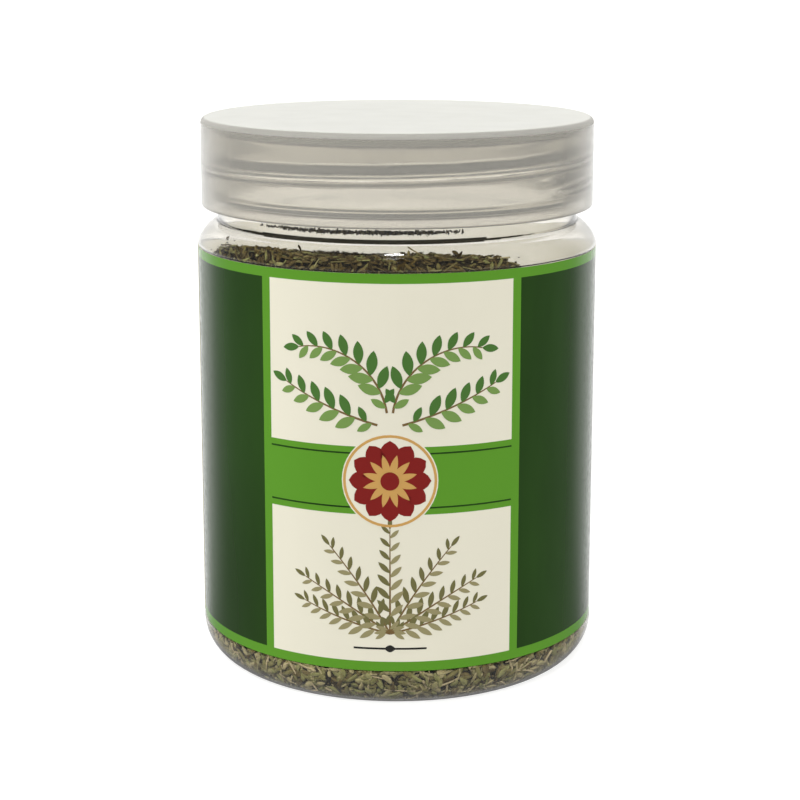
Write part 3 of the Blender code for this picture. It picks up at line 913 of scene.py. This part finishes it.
def sprig(foot, heading, length, bend, pairs, leaf, stem_width):
    """A leafy twig: its stem's outlines, and its leaves' as two lists, one for each side."""
    points = []
    place, way = foot, heading
    steps = pairs * STEPS_PER_PAIR
    for _ in range(steps + 1):
        points.append(place)
        place = (place[0] + length / steps * math.cos(way), place[1] + length / steps * math.sin(way))
        way += bend / steps
    widths = [stem_width * (1 - TWIG_TAPER * i / steps) for i in range(steps + 1)]
    sides = ([], [])
    for k in range(1, pairs + 1):
        i = k * STEPS_PER_PAIR - 1
        way = math.atan2(points[i][1] - points[i - 1][1], points[i][0] - points[i - 1][0])
        size = (1 - LEAVES_SHRINK * k / pairs) * min(1, FOOT_LEAVES + FOOT_LEAVES * k)
        for side, turn in ((0, 1), (1, -1)):
            outline = leaf_outline(leaf[0] * size, leaf[1] * size)
            spot = points[i - side]
            sides[side].append(placed(outline, *spot, way + turn * LEAF_SPREAD))
    sides[0].append(placed(leaf_outline(leaf[0] * END_LEAF, leaf[1] * END_LEAF), *points[-1], way))
    return strip_outlines(points, widths), sides


def print_belt(inks):
    """The belt across the panel, with a thin line along each edge."""
    belt = [bar_outline(0, BELT_UP, 2 * PANEL_HALF_WIDTH + FRAME_LINE, BELT_HEIGHT)]
    print_on_label("print_belt", belt, inks["light_green"], 1)
    reach = BELT_HEIGHT / 2 - BELT_LINE_INSET
    lines = [bar_outline(0, BELT_UP + up, 2 * PANEL_HALF_WIDTH, BELT_LINE) for up in (-reach, reach)]
    print_on_label("print_belt_lines", lines, inks["dark_green"], 2)


def print_twigs(name, twigs, leaf, stem_width, inks):
    """Twigs, each with its mirror twin unless it stands upright. The inks are the stems' and those of
    the leaves on either side."""
    layers = ([], [], [])
    for foot, heading, length, bend, pairs in twigs:
        way, turn = math.radians(heading), math.radians(bend)
        stem, sides = sprig(foot, way, length, turn, pairs, leaf, stem_width)
        for layer, outlines in zip(layers, (stem, *sides)):
            layer += outlines if heading == UPRIGHT else mirrored(outlines)
    for i, kind in enumerate(("stems", "leaves", "leaves_light")):
        print_on_label(f"print_{name}_{kind}", layers[i], inks[i], 3 + i)


def round_belt_middle(outline, count=1, shift=0):
    """Copies of an outline, turned evenly round the belt's middle from a share of their spacing on."""
    return [placed(outline, 0, BELT_UP, TURN * (i + shift) / count) for i in range(count)]


def print_rosette(inks):
    """The rosette: a pale ground, a gilt ring, petals with gilding between them, and a heart."""
    ring = ring_outlines(ROSETTE_RADIUS, ROSETTE_RADIUS + ROSETTE_RING)
    layers = (
        ("ground", round_belt_middle(disc_outline(ROSETTE_RADIUS + ROSETTE_MARGIN)), "cream", 3),
        ("ring", [placed(piece, 0, BELT_UP, 0) for piece in ring], "gold", 5),
        ("petals", round_belt_middle(petal_outline(*PETAL), ROSETTE_PETALS), "dark_red", 5),
        ("gilding", round_belt_middle(leaf_outline(*GILDING), ROSETTE_PETALS, 0.5), "gold", 6),
        ("heart", round_belt_middle(disc_outline(ROSETTE_HEART)), "dark_red", 7),
    )
    for name, outlines, ink, level in layers:
        print_on_label("print_rosette_" + name, outlines, inks[ink], level)


def make_artwork(inks):
    """The panel's print: a belt with a rosette, a leafy garland over it, and a fan of twigs and a rule
    under it."""
    print_belt(inks)
    leafy = (inks["stem"], inks["leaf"], inks["leaf_light"])
    print_twigs("garland", GARLAND, GARLAND_LEAF, GARLAND_STEM, leafy)
    herbal = (inks["stem"], inks["herb"], inks["herb_light"])
    print_twigs("fan", FAN, FAN_LEAF, FAN_STEM, herbal)
    print_rosette(inks)
    rule = [bar_outline(0, RULE_UP, *RULE_SIZE)]
    rule.append(placed(leaf_outline(*RULE_BEAD, 1), -RULE_BEAD[0] / 2, RULE_UP, 0))
    print_on_label("print_rule", rule, inks["black"], 3)


# The thyme

WALL_INSIDE = np.array([spot for spot in jar_inner_line() if spot[0] > HEEL_CENTRE_R - 0.01 * MM][::-1])


def jar_inside_radius(z):
    """How far the jar's inside reaches from the axis at a height."""
    return np.interp(z, WALL_INSIDE[:, 1], WALL_INSIDE[:, 0])


def heap_z(x, y):
    """The height of the thyme's top: a slope towards the high side, with a round crest and low
    bumps, that falls away at both sides."""
    along = (x * math.cos(HEAP_HIGH_SIDE) + y * math.sin(HEAP_HIGH_SIDE)) / HEAP_REACH
    wide, deep, slanted = HEAP_BUMPS_APART
    bumps = np.sin(x / wide + 1) * np.cos(y / deep) + np.sin((x + 2 * y) / slanted)
    along = along - HEAP_CREST_ROUNDING * np.maximum(0, along - HEAP_CREST_FROM) ** 2
    drop = HEAP_SIDE_DROP * smooth_step((x - HEAP_SIDE_FROM) / HEAP_SIDE_WIDTH)
    drop += HEAP_LEFT_DROP * smooth_step((-x - HEAP_LEFT_FROM) / HEAP_LEFT_WIDTH)
    return HEAP_MIDDLE_Z + HEAP_RISE * along - drop + HEAP_BUMP * bumps


def heap_edge_z(angle):
    """The height of the heap's edge, where it meets the jar."""
    return heap_z(INNER_RADIUS * np.cos(angle), INNER_RADIUS * np.sin(angle))


def heap_outward(x, y):
    """The way that the heap's top faces."""
    step = HEAP_STEP
    across = (heap_z(x + step, y) - heap_z(x - step, y)) / (2 * step)
    along = (heap_z(x, y + step) - heap_z(x, y - step)) / (2 * step)
    outward = np.stack((-across, -along, np.ones_like(across)), -1)
    return outward / np.linalg.norm(outward, axis=-1, keepdims=True)


def tube_faces(stations, sides, pointed):
    """The faces of a tube of rings along +X, its ends closed by a tip or by a flat cap."""
    first = 1 if pointed else 0
    faces = []
    for station in range(stations - 1):
        a = first + station * sides
        b = a + sides
        faces += [(a + i, a + (i + 1) % sides, b + (i + 1) % sides, b + i) for i in range(sides)]
    end = first + (stations - 1) * sides
    if pointed:
        faces += [(0, 1 + (i + 1) % sides, 1 + i) for i in range(sides)]
        faces += [(end + sides, end + i, end + (i + 1) % sides) for i in range(sides)]
    else:
        faces.append(tuple(range(sides))[::-1])
        faces.append(tuple(end + i for i in range(sides)))
    return faces


def tube_form(stations, ring, pointed):
    """A tube from -1 to 1 along X. Each station is a place along it and the size of the ring there."""
    corners = [(x, y * size, z * size) for x, size in stations for y, z in ring]
    if pointed:
        corners = [(-1, 0, 0), *corners, (1, 0, 0)]
    return corners, tube_faces(len(stations), len(ring), pointed)


def crumb_form():
    corners = [(1, 0, 0), (-1, 0, 0), (0, 1, 0), (0, -1, 0), (0, 0, 1), (0, 0, -1)]
    faces = [(0, 2, 4), (2, 1, 4), (1, 3, 4), (3, 0, 4), (2, 0, 5), (1, 2, 5), (3, 1, 5), (0, 3, 5)]
    return corners, faces


def held_inside(corners, gap):
    """Presses what would cross the jar's wall or floor flat against it, a gap clear."""
    r = np.hypot(corners[:, 0], corners[:, 1])
    limit = jar_inside_radius(corners[:, 2]) - gap
    share = np.minimum(1, limit / np.maximum(r, 1e-9))
    corners[:, 0] *= share
    corners[:, 1] *= share
    floor = BASE_THICKNESS + push_up_z(np.hypot(corners[:, 0], corners[:, 1])) + gap
    corners[:, 2] = np.maximum(corners[:, 2], floor)
    return corners


def scatter(draw, form, spots, outwards, lengths, widths, lean, tones, curl):
    """Copies of a form, each lying on a spot with its own size, heading, lean, bend and tone."""
    corners, faces = form
    base = np.array(corners, float)
    count = len(spots)
    heading = draw.uniform(0, TURN, count)
    tilt = draw.normal(0, lean, count)
    roll = draw.normal(0, lean, count)
    half = np.stack((lengths / 2, widths / 2, widths / 2 * draw.uniform(*BIT_THICKNESS, count)), -1)
    points = base[None] * half[:, None, :]
    bent = base[None, :, 0] ** 2 * lengths[:, None] / 2
    points[:, :, 2] -= bent * draw.uniform(*BIT_BEND, count)[:, None] * curl
    points[:, :, 1] += bent * draw.normal(0, 1, count)[:, None] * curl
    across = np.cross(outwards, np.where(np.abs(outwards[:, 2:]) > 0.9, (1.0, 0, 0), (0, 0, 1.0)))
    across /= np.linalg.norm(across, axis=1, keepdims=True)
    along = np.cross(outwards, across)
    ahead = across * np.cos(heading)[:, None] + along * np.sin(heading)[:, None]
    beside = np.cross(outwards, ahead)
    x_axis = ahead * np.cos(tilt)[:, None] + outwards * np.sin(tilt)[:, None]
    z_axis = np.cross(x_axis, beside)
    y_axis = beside * np.cos(roll)[:, None] + z_axis * np.sin(roll)[:, None]
    z_axis = np.cross(x_axis, y_axis)
    axes = (x_axis, y_axis, z_axis)
    turned_points = sum(points[:, :, i, None] * axis[:, None] for i, axis in enumerate(axes))
    placed_points = (turned_points + spots[:, None]).reshape(-1, 3)
    size = len(base)
    all_faces = []
    for width in sorted({len(face) for face in faces}):
        alike = np.array([face for face in faces if len(face) == width])
        all_faces += (alike[None] + (np.arange(count) * size)[:, None, None]).reshape(-1, width).tolist()
    return placed_points, all_faces, np.repeat(tones, size)


def make_bits(name, batches, material):
    """One piece from several scatters."""
    corners, faces, tones = [], [], []
    before = 0
    for points, batch_faces, batch_tones in batches:
        corners.append(points)
        faces += [[i + before for i in face] for face in batch_faces]
        tones.append(batch_tones)
        before += len(points)
    thing = new_object(name, held_inside(np.vstack(corners), BIT_GAP), faces, [material])
    tone_and_shade = thing.data.attributes.new("tone_and_shade", "FLOAT", "POINT")
    tone_and_shade.data.foreach_set("value", np.concatenate(tones).astype(np.float32))
    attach(thing, "jar")


def drawn_tones(draw, count, middle, kind):
    shift, spread, lowest, highest = kind
    return np.clip(draw.normal(middle + shift, spread, count), lowest, highest)


def mixed_batches(draw, spots_of, leaves, stems, crumbs, lean, size, tone_and_shade):
    """Crumbs in the gaps, darkened as painted shade, leaves over them and stems on top. spots_of gives
    count spots at a depth, and which way is outwards there."""
    spots, outwards = spots_of(draw, crumbs, *CRUMB_DEPTH)
    sizes = draw.uniform(*CRUMB_SIZE, crumbs) * size * MM
    tones = drawn_tones(draw, crumbs, tone_and_shade, LEAF_TONES) * CRUMB_PAINTED_SHADE
    lying = (spots, outwards, sizes, sizes * 0.8, CRUMB_LEAN, tones, LEAF_CURL)
    batches = [scatter(draw, crumb_form(), *lying)]
    leaf = tube_form(LEAF_STATIONS, LEAF_RING, True)
    stem = tube_form(STEM_STATIONS, disc_outline(1, STEM_SIDES), False)
    for form, count, depth, length, width, slack, kind, curl in (
        (leaf, leaves, LEAF_DEPTH, LEAF_LENGTH, LEAF_WIDTH, 1, LEAF_TONES, LEAF_CURL),
        (stem, stems, STEM_DEPTH, STEM_LENGTH, STEM_WIDTH, 0.7, STEM_TONES, STEM_CURL),
    ):
        spots, outwards = spots_of(draw, count, *depth)
        lengths = draw.uniform(*length, count) * size * MM
        widths = draw.uniform(*width, count) * size * MM
        tones = drawn_tones(draw, count, tone_and_shade, kind)
        batches.append(scatter(draw, form, spots, outwards, lengths, widths, lean * slack, tones, curl))
    return batches


def make_core(material):
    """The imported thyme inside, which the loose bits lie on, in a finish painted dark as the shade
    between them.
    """
    floor = BASE_THICKNESS + CORE_INSET
    line = [(r, floor + float(push_up_z(r))) for r in np.linspace(0, STANDING_RING_INNER, 30)]
    heel = (HEEL_INNER_RADII[0] - CORE_INSET, HEEL_INNER_RADII[1] - CORE_INSET)
    line += arc((HEEL_CENTRE_R, HEEL_TOP), heel, -90, 0)
    line += [(INNER_RADIUS - CORE_INSET, HEAP_MIDDLE_Z), (0, HEAP_MIDDLE_Z)]

    def lay_heap(r, z, angle):
        top = heap_z(r * np.cos(angle), r * np.sin(angle)) - CORE_BELOW_HEAP
        z = np.where(z > HEAP_MIDDLE_Z - CORE_TOP_BAND, top, np.minimum(z, top))
        return np.minimum(r, jar_inside_radius(z) - CORE_INSET), z

    line = thinned(softened(line, CORE_ROUNDING))
    core = turned("thyme_core", line, [material], lay_heap, CORE_STEPS)
    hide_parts("dried_thyme")
    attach(core, "jar")


def on_heap(draw, count, shallow, deep):
    """Spots on the heap's top."""
    r = (INNER_RADIUS - HEAP_CLEARANCE) * np.sqrt(draw.uniform(0, 1, count))
    angle = draw.uniform(0, TURN, count)
    x, y = r * np.cos(angle), r * np.sin(angle)
    outwards = heap_outward(x, y)
    spots = around(angle, r, heap_z(x, y))
    return spots - outwards * draw.uniform(-shallow, deep, count)[:, None], outwards


def by_wall(draw, angle, z, shallow, deep, nearer=1):
    """Spots inside the jar's wall, at the depths or so many times nearer to it."""
    r = jar_inside_radius(z) - draw.uniform(shallow, deep, len(angle)) / nearer
    return around(angle, r, z), around(angle, 1, 0)


def at_brim(draw, count, shallow, deep):
    """Spots on the jar's wall, in the strip just below the heap's edge."""
    angle = draw.uniform(0, TURN, count)
    z = heap_edge_z(angle) - BRIM_BELOW_EDGE - BRIM_DEPTH * draw.uniform(0, 1, count)
    return by_wall(draw, angle, z, shallow, deep)


def round_heel(draw, count, shallow, deep):
    """Spots on the heel's inside, from the floor's edge up to behind the label."""
    angle = draw.uniform(0, TURN, count)
    reach = draw.uniform(*HEEL_REACH, count)
    slope = np.clip(reach, 0, 1) * math.pi / 2
    across, down = HEEL_INNER_RADII
    outwards = around(angle, np.sin(slope), -np.cos(slope))
    r = HEEL_CENTRE_R + across * np.sin(slope) + np.minimum(reach, 0) * FLOOR_STRIP
    z = HEEL_TOP - down * np.cos(slope) + np.maximum(reach - 1, 0) * WALL_STRIP
    return around(angle, r, z) - outwards * draw.uniform(shallow, deep, count)[:, None], outwards


def on_floor(draw, count, shallow, deep):
    """Spots on the jar's floor, which is seen from below."""
    r = HEEL_CENTRE_R * np.sqrt(draw.uniform(0, 1, count))
    angle = draw.uniform(0, TURN, count)
    z = BASE_THICKNESS + push_up_z(r) + draw.uniform(shallow, deep, count)
    return around(angle, r, z), np.tile((0.0, 0, -1.0), (count, 1))


def on_wall(draw, count, shallow, deep):
    """Spots on the jar's wall about the heap's edge, for bits that cling above it."""
    angle = draw.uniform(0, TURN, count)
    z = heap_edge_z(angle) + draw.uniform(*CLINGING_REACH, count)
    return by_wall(draw, angle, z, shallow, deep, 3)


def in_neck(draw, count, shallow, deep):
    """Spots in a thin line of dust that sticks inside the foot of the neck, at the front."""
    angle = draw.triangular(*NECK_DUST_TURNS, count)
    z = NECK_DUST_Z + draw.normal(0, NECK_DUST_SPREAD, count)
    return by_wall(draw, angle, z, shallow, deep, 6)


# The loose bits: name, place, how many leaves, stems and crumbs, then their lean, size and tone. The tone
# is paler round the heel and on the floor and darker on the heap, at the brim and in the neck: painted
# light from the floor and painted shade under the lid
MIXES = (
    ("thyme_heap_left", on_heap, 3500, 200, 2500, 0.16, 0.75, 0.36),
    ("thyme_heap_right", on_heap, 3500, 200, 2500, 0.16, 0.75, 0.36),
    ("thyme_brim", at_brim, 3200, 130, 2400, 0.25, 0.58, 0.38),
    ("thyme_heel", round_heel, 3200, 520, 2200, 0.3, 0.95, 0.72),
    ("thyme_clinging", on_wall, 60, 14, 90, 0.3, 0.5, 0.3),
    ("thyme_neck_dust", in_neck, 560, 8, 700, 0.1, 0.25, 0.2),
    ("thyme_floor", on_floor, 1900, 200, 900, 0.12, 1, 0.5),
)


def make_thyme(herb, painted_shade_core):
    make_core(painted_shade_core)
    draw = np.random.default_rng(SEED)
    for name, *mix in MIXES:
        make_bits(name, mixed_batches(draw, *mix), herb)


# The room: a pale floor, soft light and the camera


def backness(tree, place, low, high):
    """How much a direction or a place is behind the jar: from low beside and before it to high behind."""
    flat = node(tree, "VectorMath", {0: place}, operation="NORMALIZE").outputs["Vector"]
    depth = node(tree, "SeparateXYZ", {"Vector": flat}).outputs["Y"]
    inputs = {"From Min": BACK_STARTS, "From Max": BACK_IS_FULL, "To Min": low, "To Max": high}
    made = node(tree, "MapRange", {"Value": depth, **inputs}, interpolation_type="SMOOTHSTEP")
    return made.outputs["Result"]


def maths(tree, operation, *values):
    """A Math node's result. Each value is a number or a socket."""
    return node(tree, "Math", dict(enumerate(values)), operation=operation).outputs["Value"]


def make_floor():
    """A pale light table, which glows most behind the jar."""
    material = new_material(
        "pale_floor", (0.25, 0.25, 0.25), 0.6, Specular_IOR_Level=0.1, Emission_Color=(1, 1, 0.99, 1)
    )
    vary_colour(material, (3, EVEN, 3), (0.24, 0.24, 0.24), (0.26, 0.26, 0.26))
    tree = material.node_tree
    place = node(tree, "TexCoord", {}).outputs["Object"]
    moved = node(tree, "VectorMath", {0: place, 1: (0, FLOOR_GLOW_BEFORE, 0)}).outputs["Vector"]
    glow = backness(tree, moved, FLOOR_GLOW_FRONT, FLOOR_GLOW_BACK)
    seen = node(tree, "LightPath", {}).outputs["Is Camera Ray"]
    either = node(tree, "Mix", {"Factor": seen, "A": glow, "B": FLOOR_GLOW_SEEN})
    drive(material, "Emission Strength", either.outputs["Result"])
    bpy.ops.mesh.primitive_circle_add(vertices=128, radius=FLOOR_RADIUS, fill_type="NGON")
    floor = bpy.context.object
    floor.name = "floor"
    floor.data.materials.append(material)


def make_world():
    """A studio's soft light: a pale wall behind the jar, and a dim room round the rest of it, which is
    pale where it is seen, also through both of the jar's walls."""
    world = bpy.data.worlds.new("soft_room")
    bpy.context.scene.world = world
    world.use_nodes = True
    tree = world.node_tree
    background = tree.nodes["Background"]
    background.inputs["Color"].default_value = (*ROOM_COLOUR, 1)
    seen = node(tree, "LightPath", {}).outputs
    deep = maths(tree, "GREATER_THAN", seen["Transmission Depth"], WALLS_CROSSED)
    plain = maths(tree, "LESS_THAN", seen["Diffuse Depth"], 0.5)
    clear_view = maths(tree, "MULTIPLY", deep, plain)
    rays = (seen["Is Transmission Ray"], ROOM_SEEN_THROUGH, seen["Is Camera Ray"])
    strength = maths(tree, "MULTIPLY_ADD", *rays)
    strength = maths(tree, "MULTIPLY_ADD", clear_view, ROOM_BEHIND_JAR, strength)
    place = node(tree, "TexCoord", {}).outputs["Generated"]
    behind = backness(tree, place, ROOM_FRONT, ROOM_BACK)
    tree.links.new(maths(tree, "MAXIMUM", behind, strength), background.inputs["Strength"])


def add_lamp(name, azimuth, elevation, power, size, mirrored_in_gloss):
    """A far lamp that shines at the jar. Azimuth 0 is in front and grows to the right, and size is how
    wide it looks, in degrees. Gloss and clear plastic show it only if it is mirrored."""
    data = bpy.data.lights.new(name, "SUN")
    data.energy = power
    data.angle = math.radians(size)
    lamp = in_scene(name, data)
    a, e = math.radians(azimuth), math.radians(elevation)
    back = Vector((math.sin(a) * math.cos(e), -math.cos(a) * math.cos(e), math.sin(e)))
    lamp.location = back
    lamp.rotation_mode = "QUATERNION"
    lamp.rotation_quaternion = back.to_track_quat("Z", "Y")
    lamp.visible_glossy = mirrored_in_gloss
    lamp.visible_transmission = mirrored_in_gloss


def make_camera():
    data = bpy.data.cameras.new("camera")
    data.sensor_width = CAMERA_SENSOR
    data.lens = CAMERA_LENS
    data.shift_x, data.shift_y = CAMERA_SHIFT
    camera = in_scene("camera", data)
    camera.location = CAMERA_PLACE
    camera.rotation_euler = (math.pi / 2 - CAMERA_DOWN, 0, 0)
    bpy.context.scene.camera = camera


def let_light_through():
    """Light that gets inside the jar has crossed many thin walls, so it needs a long path."""
    paths = bpy.context.scene.cycles
    paths.max_bounces = LIGHT_BOUNCES
    paths.transmission_bounces = LIGHT_BOUNCES
    paths.sample_clamp_indirect = BRIGHTEST_INDIRECT


def main():
    bpy.context.scene.view_settings.view_transform = "Standard"
    let_light_through()
    make_camera()
    make_world()
    for name, lamp in LAMPS.items():
        add_lamp(name, *lamp)
    make_floor()
    make_jar(clear_plastic(), painted_dark_plastic())
    make_lid([milky_plastic(name, *finish) for name, finish in MILKY.items()])
    make_liner(foam())
    inks = {name: printed("ink_" + name, *finish) for name, finish in INKS.items()}
    make_label(inks["dark_green"], inks["light_green"], inks["cream"], bare_paper())
    make_artwork(inks)
    make_thyme(dried_herb(), painted_shade_herb())


main()
